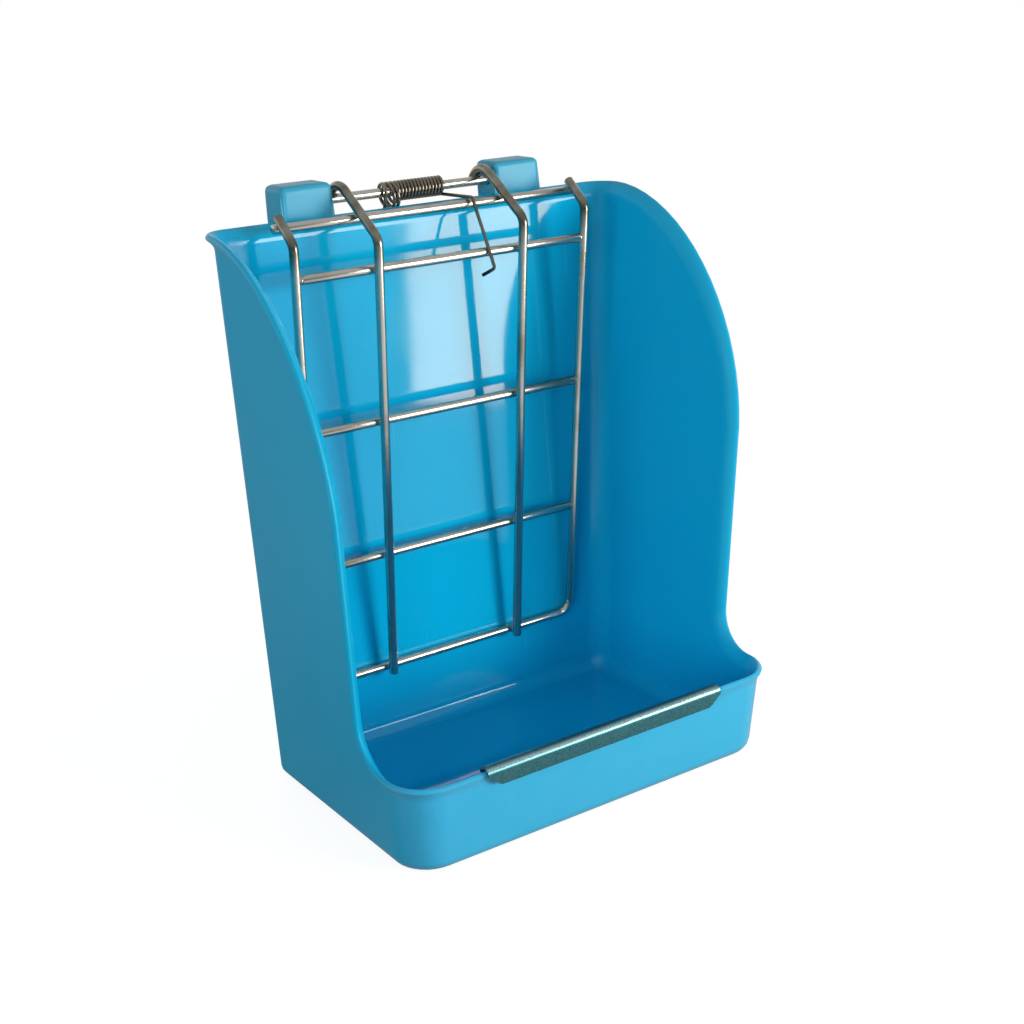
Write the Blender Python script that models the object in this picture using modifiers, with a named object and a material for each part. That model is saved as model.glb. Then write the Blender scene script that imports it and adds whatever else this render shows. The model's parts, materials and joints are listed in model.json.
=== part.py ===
"""Hanging hay feeder: a moulded tub with two hooks, a sprung wire grille and a chew guard.

The feeder faces -Y and stands on its flat base at z = 0. Heights and depths below are over the outside.
"""
import math
from functools import partial
from typing import NamedTuple

import bmesh
import bpy
from mathutils import Vector

# Tub walls
BASE_WIDTH = 0.1535
BASE_DEPTH = 0.099
RIM_WIDTH = 0.1664
RIM_HEIGHT = 0.201
FRONT_HEIGHT = 0.0325
WALL = 0.0022
BACK_LEAN = 0.0022
FRONT_LEAN = 0.0035
SIDE_SPREAD = 0.0038
FRONT_CORNER = 0.0137
BACK_CORNER = 0.0045
BACK_CORNER_RIM = 0.008
BOTTOM_ROUND = 0.0042
FLOOR_FILLET = 0.006
INNER_CORNER = 0.008

# Free edge of the tub: flared lip, foot curve and upper sweep of the side panels
LIP_REACH = 0.0029
FRONT_LIP_REACH = 0.0012
LIP_HEIGHT = 0.0042
LIP_EDGE_ROUND = 0.0008
LIP_RUN = 0.0013
FOOT_RADIUS = 0.0152
EDGE_RAKE = 0.003
SWEEP_START_SHARE = 0.594
SWEEP_POWER = 1.87

# Hook blocks at the top of the back wall
HOOK_SPACING = 0.0678
HOOK_WIDTH = 0.0205
HOOK_RISE = 0.0131
HOOK_SINK = 0.001
HOOK_ROOT = 0.0045
HOOK_SLOT = 0.0052
HOOK_ROOT_DROP = 0.012
HOOK_EDGE_ROUND = 0.0023
TONGUE_EDGE_ROUND = 0.0008
TONGUE_THICKNESS = 0.004
TONGUE_WIDTH = 0.012
TONGUE_DROP = 0.013

# Hinge rod
HINGE_ROD = 0.0034
HINGE_SETBACK = 0.0053
HINGE_RISE = 0.0065
ROD_SEAT = 0.008

# Grille wires
WIRE = 0.0034
WIRE_END_ROUND = 0.0003
BOTTOM_WIRE_HEIGHT = 0.0312
CROSS_LOWER_SHARE = 0.2744
CROSS_MIDDLE_SHARE = 0.5813
CROSS_UPPER_SHARE = 0.9075
GRILLE_LEAN = 0.0121
FRAME_TOP_WIDTH = 0.121
FRAME_BOTTOM_WIDTH = 0.115
UPRIGHT_SIDE_GAP = 0.002
UPRIGHT_BOTTOM_SPACING = 0.0573
UPRIGHT_TAIL = 0.0021
FRAME_CORNER = 0.006
ARM_BEND = 0.005
ARM_ANGLE = math.radians(34.5)
FRAME_ARM_ANGLE = math.radians(40)
FRAME_ARM_SHORT = 0.0009
TOP_ROD_FORWARD = 0.0135
TOP_ROD_DROP = 0.0058
TOP_ROD_OVERHANG = 0.0018
HOOK_BEND = 0.0078
HOOK_END = math.radians(10)

# Torsion spring
SPRING_WIRE = 0.001
SPRING_RADIUS = 0.0031
SPRING_GAP = 0.00042
SPRING_RIGHT = 0.0132
TIGHT_TURNS = 13.75
LOOSE_TURNS = 3.05
LOOSE_SPREAD = 0.00038
LOOSE_GROWTH = 0.0014
LOOSE_TILT = 0.0015
FRONT_LEG_X = 0.0165
FRONT_LEG_TAIL = 0.0053
FRONT_FOOT = 0.0055
FRONT_FOOT_DROP = 0.0018
LEG_BEND = 0.0013
REAR_LEG = 0.0035
REAR_LEG_RISE = 0.0014

# Chew guard
GUARD_LENGTH = 0.1005
GUARD_SHEET = 0.0007
GUARD_FLANGE = 0.0061
GUARD_RETURN = 0.002
GUARD_SLANT = 0.005
GUARD_CORNER = 0.0018
GUARD_BEND = 0.0015

# Clearance between neighbouring pieces, and how finely round stretches are cut
FIT_GAP = 0.0003
MERGE = 0.00001
LIP_CURVE = 2.2
LIP_ROWS = 5
PANEL_ROWS = 4
CORNER_STEPS = 8
BOTTOM_STEPS = 4
FOOT_STEPS = 9
STRAIGHT_STEPS = 4
SWEEP_STEPS = 18
ROD_SIDES = 16
WIRE_RESOLUTION = 3
SPRING_RESOLUTION = 1
BEND_STEPS = 4
HOOK_STEPS = 12
BLOCK_BEVEL_STEPS = 3
EDGE_BEVEL_STEPS = 2
TURN_POINTS = 10
LOOSE_BLEND = 0.75
SMOOTH_ANGLE = math.radians(35)
LIP_EDGE_ANGLE = math.radians(60)

# Places worked out from the sizes above, before the whole feeder is centred front to back
SWEEP_START = RIM_HEIGHT * SWEEP_START_SHARE
CROSS_LOWER = (RIM_HEIGHT - BOTTOM_WIRE_HEIGHT) * CROSS_LOWER_SHARE
CROSS_MIDDLE = (RIM_HEIGHT - BOTTOM_WIRE_HEIGHT) * CROSS_MIDDLE_SHARE
CROSS_UPPER = (RIM_HEIGHT - BOTTOM_WIRE_HEIGHT) * CROSS_UPPER_SHARE
UPRIGHT_TOP_SPACING = HOOK_SPACING - WIRE - 2 * UPRIGHT_SIDE_GAP
HOOK_FRONT = BASE_DEPTH / 2 + BACK_LEAN
HOOK_BACK = HOOK_FRONT + HOOK_ROOT + HOOK_SLOT + TONGUE_THICKNESS
HOOK_UNDER = RIM_HEIGHT - HOOK_SINK
HINGE_Y = HOOK_FRONT + HINGE_SETBACK
HINGE_Z = RIM_HEIGHT + HINGE_RISE
TOP_ROD_Y = HINGE_Y - TOP_ROD_FORWARD
TOP_ROD_Z = HINGE_Z - TOP_ROD_DROP
CROSSING = WIRE + FIT_GAP
HINGE_CLEARANCE = (WIRE + HINGE_ROD) / 2 + FIT_GAP
FRONT_LIP_Y = -BASE_DEPTH / 2 - FRONT_LEAN - FRONT_LIP_REACH
GUARD_FRONT = FRONT_LIP_Y - FIT_GAP - GUARD_SHEET
DEPTH_SHIFT = -(GUARD_FRONT + HOOK_BACK) / 2
SPRING_PITCH = SPRING_WIRE + SPRING_GAP
LOOSE_PITCH = SPRING_PITCH + LOOSE_SPREAD



class Skin(NamedTuple):
    """One face of the moulded wall: how far it lies inside the outer face, and its roundings."""

    inset: float
    floor_round: float
    front_corner: float
    back_corner: float
    back_corner_rim: float


OUTSIDE = Skin(0.0, BOTTOM_ROUND, FRONT_CORNER, BACK_CORNER, BACK_CORNER_RIM)
INSIDE = Skin(WALL, FLOOR_FILLET, FRONT_CORNER - WALL, INNER_CORNER, BACK_CORNER_RIM - WALL)

# Colours and finishes
BLUE = (0.03, 0.33, 0.62)
STEEL = (0.62, 0.58, 0.54)
SPRING_STEEL = (0.36, 0.30, 0.26)
GUARD_GREY = (0.20, 0.30, 0.33)
PLASTIC_ROUGHNESS = 0.15
STEEL_ROUGHNESS = 0.2
SPRING_ROUGHNESS = 0.3
GUARD_ROUGHNESS = 0.35


def clear_scene():
    """Start from an empty scene."""
    for item in list(bpy.data.objects):
        bpy.data.objects.remove(item, do_unlink=True)


def new_collection(name):
    """Make a collection and link it to the scene."""
    collection = bpy.data.collections.new(name)
    bpy.context.scene.collection.children.link(collection)
    return collection


def make_material(name, colour, roughness, metallic):
    """Make a Principled material."""
    material = bpy.data.materials.new(name)
    material.use_nodes = True
    shader = material.node_tree.nodes["Principled BSDF"]
    shader.inputs["Base Color"].default_value = (*colour, 1.0)
    shader.inputs["Roughness"].default_value = roughness
    shader.inputs["Metallic"].default_value = metallic
    return material


def blue_plastic():
    """Glossy moulded plastic of the tub."""
    return make_material("blue plastic", BLUE, PLASTIC_ROUGHNESS, 0.0)


def plated_wire():
    """Bright plated wire of the grille and the hinge rod."""
    return make_material("plated wire", STEEL, STEEL_ROUGHNESS, 1.0)


def spring_wire():
    """Darker wire of the spring."""
    return make_material("spring wire", SPRING_STEEL, SPRING_ROUGHNESS, 1.0)


def guard_sheet():
    """Dark sheet metal of the chew guard."""
    return make_material("guard sheet", GUARD_GREY, GUARD_ROUGHNESS, 1.0)


def make_empty(name, location, collection, parent=None):
    """Make an empty that carries other objects."""
    empty = bpy.data.objects.new(name, None)
    empty.location = location
    empty.parent = parent
    collection.objects.link(empty)
    return empty


def place(name, data, collection, parent=None, material=None):
    """Make an object from mesh or curve data."""
    item = bpy.data.objects.new(name, data)
    item.parent = parent
    collection.objects.link(item)
    if material:
        data.materials.append(material)
    return item


def as_cutter(item):
    """Mark an object that only shapes another one."""
    item.hide_render = True
    item.display_type = "WIRE"
    return item


def finish_mesh(mesh, bm):
    """Write a bmesh to a mesh with smooth round faces."""
    bm.to_mesh(mesh)
    bm.free()
    mesh.shade_smooth()
    mesh.set_sharp_from_angle(angle=SMOOTH_ANGLE)


def back_y(z):
    """Outer face of the back wall at a height."""
    return BASE_DEPTH / 2 + BACK_LEAN * z / RIM_HEIGHT


def front_y(z):
    """Outer face of the front wall at a height."""
    return -BASE_DEPTH / 2 - FRONT_LEAN * z / FRONT_HEIGHT


def half_width(y, z):
    """Outer face of a side panel: it leans out with height and turns out towards the front."""
    spread = SIDE_SPREAD * (back_y(z) - y) / BASE_DEPTH
    return BASE_WIDTH / 2 + z / RIM_HEIGHT * ((RIM_WIDTH - BASE_WIDTH) / 2 + spread)


def round_corner(corner, to_start, to_end, radius, fraction):
    """Point and outward normal on the arc that rounds a corner between two directions."""
    half_angle = to_start.angle(to_end) / 2
    centre = corner + (to_start + to_end).normalized() * radius / math.sin(half_angle)
    start = (corner + to_start * radius / math.tan(half_angle) - centre).normalized()
    end = (corner + to_end * radius / math.tan(half_angle) - centre).normalized()
    sweep = start.angle(end)
    normal = start * math.sin((1 - fraction) * sweep) + end * math.sin(fraction * sweep)
    normal = normal / math.sin(sweep)
    return centre + normal * radius, normal


def side_line(z, skin):
    """Ends of the side panel's plan line at a height, and its direction to the back."""
    front = Vector((half_width(front_y(z), z), front_y(z)))
    back = Vector((half_width(back_y(z), z), back_y(z)))
    direction = (back - front).normalized()
    start = front + Vector((-direction.y, direction.x)) * skin.inset
    front = start + direction * (front.y + skin.inset - start.y) / direction.y
    back = start + direction * (back.y - skin.inset - start.y) / direction.y
    return front, back, direction


def on_front_corner(fraction, z, skin):
    """Point and normal on the rounded front corner."""
    front, _, direction = side_line(z, skin)
    return round_corner(front, Vector((-1, 0)), direction, skin.front_corner, fraction)


def on_back_corner(fraction, z, skin):
    """Point and normal on the rounded back corner."""
    _, back, direction = side_line(z, skin)
    radius = skin.back_corner + (skin.back_corner_rim - skin.back_corner) * z / RIM_HEIGHT
    return round_corner(back, -direction, Vector((-1, 0)), radius, fraction)


def on_side(y, z, skin):
    """Point and normal on the side panel."""
    front, _, direction = side_line(z, skin)
    return front + direction * (y - front.y) / direction.y, Vector((direction.y, -direction.x))


def on_front_middle(z, skin):
    """Point and normal on the middle of the front wall."""
    return Vector((0, front_y(z) + skin.inset)), Vector((0, -1))


def on_back_middle(z, skin):
    """Point and normal on the middle of the back wall."""
    return Vector((0, back_y(z) - skin.inset)), Vector((0, 1))


def moved(place_and_normal, z, out=0.0):
    """Space point at a height, moved outward along the wall's normal."""
    point, normal = place_and_normal
    point = point + normal * out
    return Vector((point.x, point.y, z))


def lip_out(depth, reach):
    """How far the lip has flared out at a depth below its edge."""
    return reach * (1 - depth / LIP_HEIGHT) ** LIP_CURVE


def lip_reach(share):
    """Lip's reach between the front's middle (0) and the top of the side panel's foot curve (1)."""
    return FRONT_LIP_REACH + (LIP_REACH - FRONT_LIP_REACH) * min(share, 1.0)


def lip_rows(reach, skin):
    """Lip's rows from its foot to its edge: how far each lies below the edge and out of the wall."""
    rows = []
    for row in range(1, LIP_ROWS + 1):
        depth = LIP_HEIGHT * (1 - row / LIP_ROWS)
        slope = LIP_CURVE * reach / LIP_HEIGHT * (row / LIP_ROWS) ** (LIP_CURVE - 1)
        length = math.hypot(1, slope)
        below = depth - skin.inset * slope / length
        out = lip_out(depth, reach) + skin.inset * (1 - 1 / length)
        rows.append((below, out))
    return rows


def wall_foot(skin):
    """Height where the rounded edge of the floor ends and the walls begin."""
    return skin.inset + skin.floor_round


def sweep_edge(start):
    """Upper sweep of a side panel's free edge: a flattened quarter ellipse up to the rim."""
    centre = Vector((on_back_corner(0, RIM_HEIGHT, OUTSIDE)[0].y, start.y))
    reach = centre.x - start.x
    climb = RIM_HEIGHT - start.y
    edge = []
    for step in range(SWEEP_STEPS + 1):
        angle = math.pi / 2 * step / SWEEP_STEPS
        along = math.cos(angle) ** (2 / SWEEP_POWER)
        up = math.sin(angle) ** (2 / SWEEP_POWER)
        inward = Vector((along ** (SWEEP_POWER - 1) / reach, -up ** (SWEEP_POWER - 1) / climb))
        edge.append((centre + Vector((-along * reach, up * climb)), inward.normalized()))
    return edge


def panel_edge():
    """Free edge of a side panel: points (y, z) with the direction into the panel."""
    corner_end = on_front_corner(1, FRONT_HEIGHT, OUTSIDE)[0].y
    foot_centre = Vector((corner_end + LIP_RUN, FRONT_HEIGHT + FOOT_RADIUS))
    edge = []
    for step in range(FOOT_STEPS + 1):
        angle = -math.pi / 2 * (1 - step / FOOT_STEPS)
        inward = Vector((math.cos(angle), math.sin(angle)))
        edge.append((foot_centre + inward * FOOT_RADIUS, inward))
    foot_top = edge[-1][0]
    sweep_start = Vector((foot_top.x - EDGE_RAKE, SWEEP_START))
    for step in range(1, STRAIGHT_STEPS):
        edge.append((foot_top.lerp(sweep_start, step / STRAIGHT_STEPS), Vector((1, 0))))
    return edge + sweep_edge(sweep_start)


def front_columns(skin):
    """Columns of the front wall and its corner, from the floor's rounded edge up to the lip's edge."""
    stations = [(on_front_middle, FRONT_LIP_REACH)]
    for step in range(CORNER_STEPS + 1):
        fraction = step / CORNER_STEPS
        wall = partial(on_front_corner, fraction)
        stations.append((wall, lip_reach(fraction / 2)))
    foot = wall_foot(skin)
    rise = FRONT_HEIGHT - LIP_HEIGHT - foot
    heights = [foot + rise * row / PANEL_ROWS for row in range(PANEL_ROWS + 1)]
    columns = []
    for wall, reach in stations:
        column = [moved(wall(z, skin), z) for z in heights]
        for depth, out in lip_rows(reach, skin):
            z = FRONT_HEIGHT - depth
            column.append(moved(wall(z, skin), z, out))
        columns.append(column)
    return columns


def back_lip(fraction, skin):
    """Lip rows at a fraction of the back corner."""
    points = []
    for depth, out in lip_rows(LIP_REACH, skin):
        z = RIM_HEIGHT - depth
        points.append(moved(on_back_corner(fraction, z, skin), z, out))
    return points


def side_columns(edge, bottom_stations, back_heights, skin):
    """Columns of a side panel, fanned from its bottom and back to its free edge."""
    spine = [Vector((y, back_heights[0])) for y in bottom_stations]
    spine += [Vector((on_back_corner(0, z, skin)[0].y, z)) for z in back_heights[1:]]
    columns = []
    for index, ((rim, inward), root) in enumerate(zip(edge[:-1], spine[:-1])):
        foot = rim + inward * LIP_HEIGHT
        column = []
        for row in range(PANEL_ROWS + 1):
            y, z = root.lerp(foot, row / PANEL_ROWS)
            column.append(moved(on_side(y, z, skin), z))
        for depth, out in lip_rows(lip_reach((1 + index / FOOT_STEPS) / 2), skin):
            y, z = rim + inward * depth
            column.append(moved(on_side(y, z, skin), z, out))
        columns.append(column)
    top = moved(on_back_corner(0, back_heights[-1], skin), back_heights[-1])
    last = [top.copy() for _ in range(PANEL_ROWS + 1)]
    return columns + [last + back_lip(0, skin)]


def back_columns(back_heights, skin):
    """Columns of the back corner and the back wall."""
    columns = []
    for step in range(CORNER_STEPS + 1):
        fraction = step / CORNER_STEPS
        column = [moved(on_back_corner(fraction, z, skin), z) for z in back_heights]
        columns.append(column + back_lip(fraction, skin))
    middle = [point.copy() for point in columns[-1]]
    for point in middle:
        point.x = 0
    return columns + [middle]


def bottom_columns(bottom_stations, skin):
    """Columns of the floor's rounded edge, from the flat floor up to the walls."""
    stations = [on_front_middle]
    for step in range(CORNER_STEPS + 1):
        stations.append(partial(on_front_corner, step / CORNER_STEPS))
    for y in bottom_stations[:-1]:
        stations.append(partial(on_side, y))
    for step in range(CORNER_STEPS + 1):
        stations.append(partial(on_back_corner, step / CORNER_STEPS))
    stations.append(on_back_middle)
    columns = []
    for wall in stations:
        column = []
        for step in range(BOTTOM_STEPS + 1):
            angle = math.pi / 2 * step / BOTTOM_STEPS
            z = wall_foot(skin) - skin.floor_round * math.cos(angle)
            column.append(moved(wall(z, skin), z, skin.floor_round * (math.sin(angle) - 1)))
        columns.append(column)
    return columns


def add_grid(bm, columns):
    """Add a sheet of faces between neighbouring columns of points."""
    grid = [[bm.verts.new(point) for point in column] for column in columns]
    for left, right in zip(grid[:-1], grid[1:]):
        for row in range(len(left) - 1):
            bm.faces.new((left[row], right[row], right[row + 1], left[row + 1]))
    return grid


def add_skin(bm, skin):
    """Add the right half of one face of the tub's wall; gives back the points along its free edge."""
    bottom_count = FOOT_STEPS + STRAIGHT_STEPS + 1
    foot = wall_foot(skin)
    first = on_front_corner(1, foot, skin)[0].y
    last = on_back_corner(0, foot, skin)[0].y
    bottom_stations = [first + (last - first) * (step + 1) / bottom_count for step in range(bottom_count)]
    rise = RIM_HEIGHT - LIP_HEIGHT - foot
    back_heights = [foot + rise * step / SWEEP_STEPS for step in range(SWEEP_STEPS + 1)]
    side = side_columns(panel_edge(), bottom_stations, back_heights, skin)
    walls = add_grid(bm, front_columns(skin) + side)
    back = add_grid(bm, back_columns(back_heights, skin))
    bottom = add_grid(bm, bottom_columns(bottom_stations, skin))
    bm.faces.new([column[0] for column in reversed(bottom)])
    return [[column[-1].co.copy() for column in grid] for grid in (walls, back)]


def tub_surface():
    """Right half of the tub's wall, open at the middle plane only."""
    bm = bmesh.new()
    inner_rims = add_skin(bm, INSIDE)
    bmesh.ops.reverse_faces(bm, faces=bm.faces)
    outer_rims = add_skin(bm, OUTSIDE)
    for outer, inner in zip(outer_rims, inner_rims):
        add_grid(bm, list(zip(outer, inner)))
    bmesh.ops.remove_doubles(bm, verts=bm.verts, dist=MERGE)
    mesh = bpy.data.meshes.new("tub")
    finish_mesh(mesh, bm)
    return mesh


def round_edges(bm, edges, radius, steps):
    """Round edges of a bmesh to a quarter circle."""
    bmesh.ops.bevel(bm, geom=list(edges), offset=radius, segments=steps, profile=0.5, affect="EDGES")


def hook_mesh(name, x_from, x_to):
    """Hook block: a side outline drawn out across the feeder, rounded along its edges."""
    root_bottom = HOOK_UNDER - HOOK_ROOT_DROP
    outline = [
        (HOOK_FRONT, RIM_HEIGHT),
        (HOOK_FRONT, RIM_HEIGHT + HOOK_RISE),
        (HOOK_BACK, RIM_HEIGHT + HOOK_RISE),
        (HOOK_BACK, HOOK_UNDER),
        (HOOK_FRONT + HOOK_ROOT, HOOK_UNDER),
        (HOOK_FRONT + HOOK_ROOT, root_bottom + HOOK_ROOT),
        (back_y(root_bottom) - WALL / 2, root_bottom),
    ]
    bm = bmesh.new()
    face = bm.faces.new([bm.verts.new((x_from, y, z)) for y, z in outline])
    grown = bmesh.ops.extrude_face_region(bm, geom=[face])
    corners = [item for item in grown["geom"] if isinstance(item, bmesh.types.BMVert)]
    bmesh.ops.translate(bm, verts=corners, vec=(x_to - x_from, 0, 0))
    bmesh.ops.recalc_face_normals(bm, faces=bm.faces)
    top = [edge for edge in bm.edges if min(vert.co.z for vert in edge.verts) > HOOK_UNDER - MERGE]
    upper = [edge for edge in top if not touches_slot(edge)]
    round_edges(bm, upper, HOOK_EDGE_ROUND, BLOCK_BEVEL_STEPS)
    mesh = bpy.data.meshes.new(name)
    finish_mesh(mesh, bm)
    return mesh


def touches_slot(edge):
    """Whether a hook block's edge lies in the slot's roof or at the lip, where it stays square."""
    middle = (edge.verts[0].co + edge.verts[1].co) / 2
    in_roof = abs(middle.z - HOOK_UNDER) < MERGE
    at_lip = middle.y < HOOK_FRONT + MERGE and middle.z < RIM_HEIGHT + MERGE
    return in_roof or at_lip


def box_mesh(name, low, high, edge_round):
    """Box between two corners with rounded edges."""
    bm = bmesh.new()
    bmesh.ops.create_cube(bm, size=1.0)
    low = Vector(low)
    high = Vector(high)
    bmesh.ops.scale(bm, vec=high - low, verts=bm.verts)
    bmesh.ops.translate(bm, vec=(low + high) / 2, verts=bm.verts)
    bm.normal_update()
    round_edges(bm, bm.edges, edge_round, EDGE_BEVEL_STEPS)
    mesh = bpy.data.meshes.new(name)
    finish_mesh(mesh, bm)
    return mesh


def rod_mesh(name, diameter, length, edge_round=0.0):
    """Rod along X, centred, with eased ends."""
    bm = bmesh.new()
    bmesh.ops.create_cone(bm, cap_ends=True, segments=ROD_SIDES, radius1=diameter / 2,
                          radius2=diameter / 2, depth=length)
    for vert in bm.verts:
        vert.co = (vert.co.z, vert.co.x, vert.co.y)
    bm.normal_update()
    if edge_round:
        rims = [edge for edge in bm.edges if any(len(face.verts) > 4 for face in edge.link_faces)]
        round_edges(bm, rims, edge_round, EDGE_BEVEL_STEPS)
    mesh = bpy.data.meshes.new(name)
    finish_mesh(mesh, bm)
    return mesh


def add_boolean(item, cutter, operation):
    """Join a shape to an object, or cut it out."""
    modifier = item.modifiers.new(cutter.name, "BOOLEAN")
    modifier.object = cutter
    modifier.operation = operation
    modifier.solver = "EXACT"


def join_hook(tub, side, label, cutters, frame):
    """Join a hook block and its hanging tongue to the tub, on one side."""
    inner = side * HOOK_SPACING / 2
    outer = side * (HOOK_SPACING / 2 + HOOK_WIDTH)
    block = hook_mesh(f"hook_{label}", min(inner, outer), max(inner, outer))
    add_boolean(tub, as_cutter(place(f"hook_{label}", block, cutters, frame)), "UNION")
    middle = (inner + outer) / 2
    low = (middle - TONGUE_WIDTH / 2, HOOK_BACK - TONGUE_THICKNESS, HOOK_UNDER - TONGUE_DROP)
    high = (middle + TONGUE_WIDTH / 2, HOOK_BACK, HOOK_UNDER + TONGUE_THICKNESS)
    tongue = box_mesh(f"tongue_{label}", low, high, TONGUE_EDGE_ROUND)
    add_boolean(tub, as_cutter(place(f"tongue_{label}", tongue, cutters, frame)), "UNION")


def bore_hooks(tub, cutters, frame):
    """Cut the blind bores for the hinge rod into both hook blocks."""
    length = HOOK_SPACING + 2 * (ROD_SEAT + FIT_GAP)
    bore = place("rod_bore", rod_mesh("rod_bore", HINGE_ROD + 2 * FIT_GAP, length), cutters, frame)
    bore.location = (0, HINGE_Y, HINGE_Z)
    add_boolean(tub, as_cutter(bore), "DIFFERENCE")


def make_tub(parts, cutters, frame, material):
    """Moulded tub: mirrored wall with a rounded lip edge, the hooks joined and bored for the rod."""
    tub = place("tub", tub_surface(), parts, frame, material)
    mirror = tub.modifiers.new("halves", "MIRROR")
    mirror.merge_threshold = MERGE
    lip = tub.modifiers.new("lip edge", "BEVEL")
    lip.width = LIP_EDGE_ROUND
    lip.segments = EDGE_BEVEL_STEPS
    lip.limit_method = "ANGLE"
    lip.angle_limit = LIP_EDGE_ANGLE
    for side, label in ((-1, "left"), (1, "right")):
        join_hook(tub, side, label, cutters, frame)
    bore_hooks(tub, cutters, frame)


def bent_path(corners, radii):
    """Points of a path whose inner corners are rounded with the given radii."""
    points = [corners[0]]
    for before, corner, after, radius in zip(corners[:-2], corners[1:-1], corners[2:], radii):
        to_start = (before - corner).normalized()
        to_end = (after - corner).normalized()
        for step in range(BEND_STEPS + 1):
            points.append(round_corner(corner, to_start, to_end, radius, step / BEND_STEPS)[0])
    points.append(corners[-1])
    return points


def wire_curve(name, points, diameter, resolution):
    """Round wire along a path, closed at both ends."""
    curve = bpy.data.curves.new(name, "CURVE")
    curve.dimensions = "3D"
    curve.bevel_depth = diameter / 2
    curve.bevel_resolution = resolution
    curve.use_fill_caps = True
    spline = curve.splines.new("POLY")
    spline.points.add(len(points) - 1)
    for control, point in zip(spline.points, points):
        control.co = (*point, 1.0)
    return curve


def wall_rest_y():
    """Depth of the bottom wire where it rests against the back wall."""
    return back_y(BOTTOM_WIRE_HEIGHT) - WALL - WIRE / 2 - FIT_GAP


def grille_y(z, forward=0.0):
    """Depth of the grille's plane at a height, or of a plane in front of it."""
    lean = GRILLE_LEAN * (z - BOTTOM_WIRE_HEIGHT) / CROSS_UPPER
    return wall_rest_y() - lean - forward


def taper(bottom, top, z):
    """Width of the grille at a height, from its widths at the bottom wire and the upper cross wire."""
    return bottom + (top - bottom) * (z - BOTTOM_WIRE_HEIGHT) / CROSS_UPPER


def arm_z(y, angle):
    """Height of a bent arm's centre line, which passes over the top rod."""
    return TOP_ROD_Z + CROSSING / math.cos(angle) + (y - TOP_ROD_Y) * math.tan(angle)


def arm_corner(forward, angle):
    """Where a leaning upright turns into its arm: (y, z)."""
    slope = GRILLE_LEAN / CROSS_UPPER * math.tan(angle)
    start = grille_y(BOTTOM_WIRE_HEIGHT, forward)
    z = (arm_z(start, angle) + slope * BOTTOM_WIRE_HEIGHT) / (1 + slope)
    return grille_y(z, forward), z


def hook_arc():
    """Points (y, z) of the hook over the hinge rod, from the arm to the hook's end."""
    along = Vector((math.cos(ARM_ANGLE), math.sin(ARM_ANGLE)))
    normal = Vector((-along.y, along.x))
    hinge = Vector((HINGE_Y, HINGE_Z))
    arm_point = Vector((TOP_ROD_Y, arm_z(TOP_ROD_Y, ARM_ANGLE)))
    offset = (arm_point - hinge).dot(normal) - HOOK_BEND
    reach = HOOK_BEND - HINGE_CLEARANCE
    centre = hinge + normal * offset - along * math.sqrt(reach ** 2 - offset ** 2)
    first = ARM_ANGLE + math.pi / 2
    angles = [first + (HOOK_END - first) * step / HOOK_STEPS for step in range(HOOK_STEPS + 1)]
    return [centre + HOOK_BEND * Vector((math.cos(angle), math.sin(angle))) for angle in angles]


def from_hinge(x, y, z):
    """Point relative to the hinge axis."""
    return Vector((x, y - HINGE_Y, z - HINGE_Z))


def frame_wire_points():
    """Outer wire of the grille: arm, side, bottom, side, arm."""
    corner_y, corner_z = arm_corner(0.0, FRAME_ARM_ANGLE)
    top_x = taper(FRAME_BOTTOM_WIDTH, FRAME_TOP_WIDTH, corner_z) / 2
    bottom_x = FRAME_BOTTOM_WIDTH / 2
    end_y = TOP_ROD_Y - FRAME_ARM_SHORT
    right = [
        from_hinge(bottom_x, wall_rest_y(), BOTTOM_WIRE_HEIGHT),
        from_hinge(top_x, corner_y, corner_z),
        from_hinge(top_x, end_y, arm_z(end_y, FRAME_ARM_ANGLE)),
    ]
    left = [Vector((-point.x, point.y, point.z)) for point in reversed(right)]
    return bent_path(left + right, (ARM_BEND, FRAME_CORNER, FRAME_CORNER, ARM_BEND))


def upright_points(side):
    """Inner upright of the grille: tail, upright, arm and hook."""
    corner_y, corner_z = arm_corner(CROSSING, ARM_ANGLE)
    tail_z = BOTTOM_WIRE_HEIGHT - UPRIGHT_TAIL
    tail_x = side * taper(UPRIGHT_BOTTOM_SPACING, UPRIGHT_TOP_SPACING, tail_z) / 2
    top_x = side * taper(UPRIGHT_BOTTOM_SPACING, UPRIGHT_TOP_SPACING, corner_z) / 2
    hook = [from_hinge(top_x, y, z) for y, z in hook_arc()]
    tail = from_hinge(tail_x, grille_y(tail_z, CROSSING), tail_z)
    corner = from_hinge(top_x, corner_y, corner_z)
    return bent_path([tail, corner, hook[0]], (ARM_BEND,)) + hook[1:]


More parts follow.
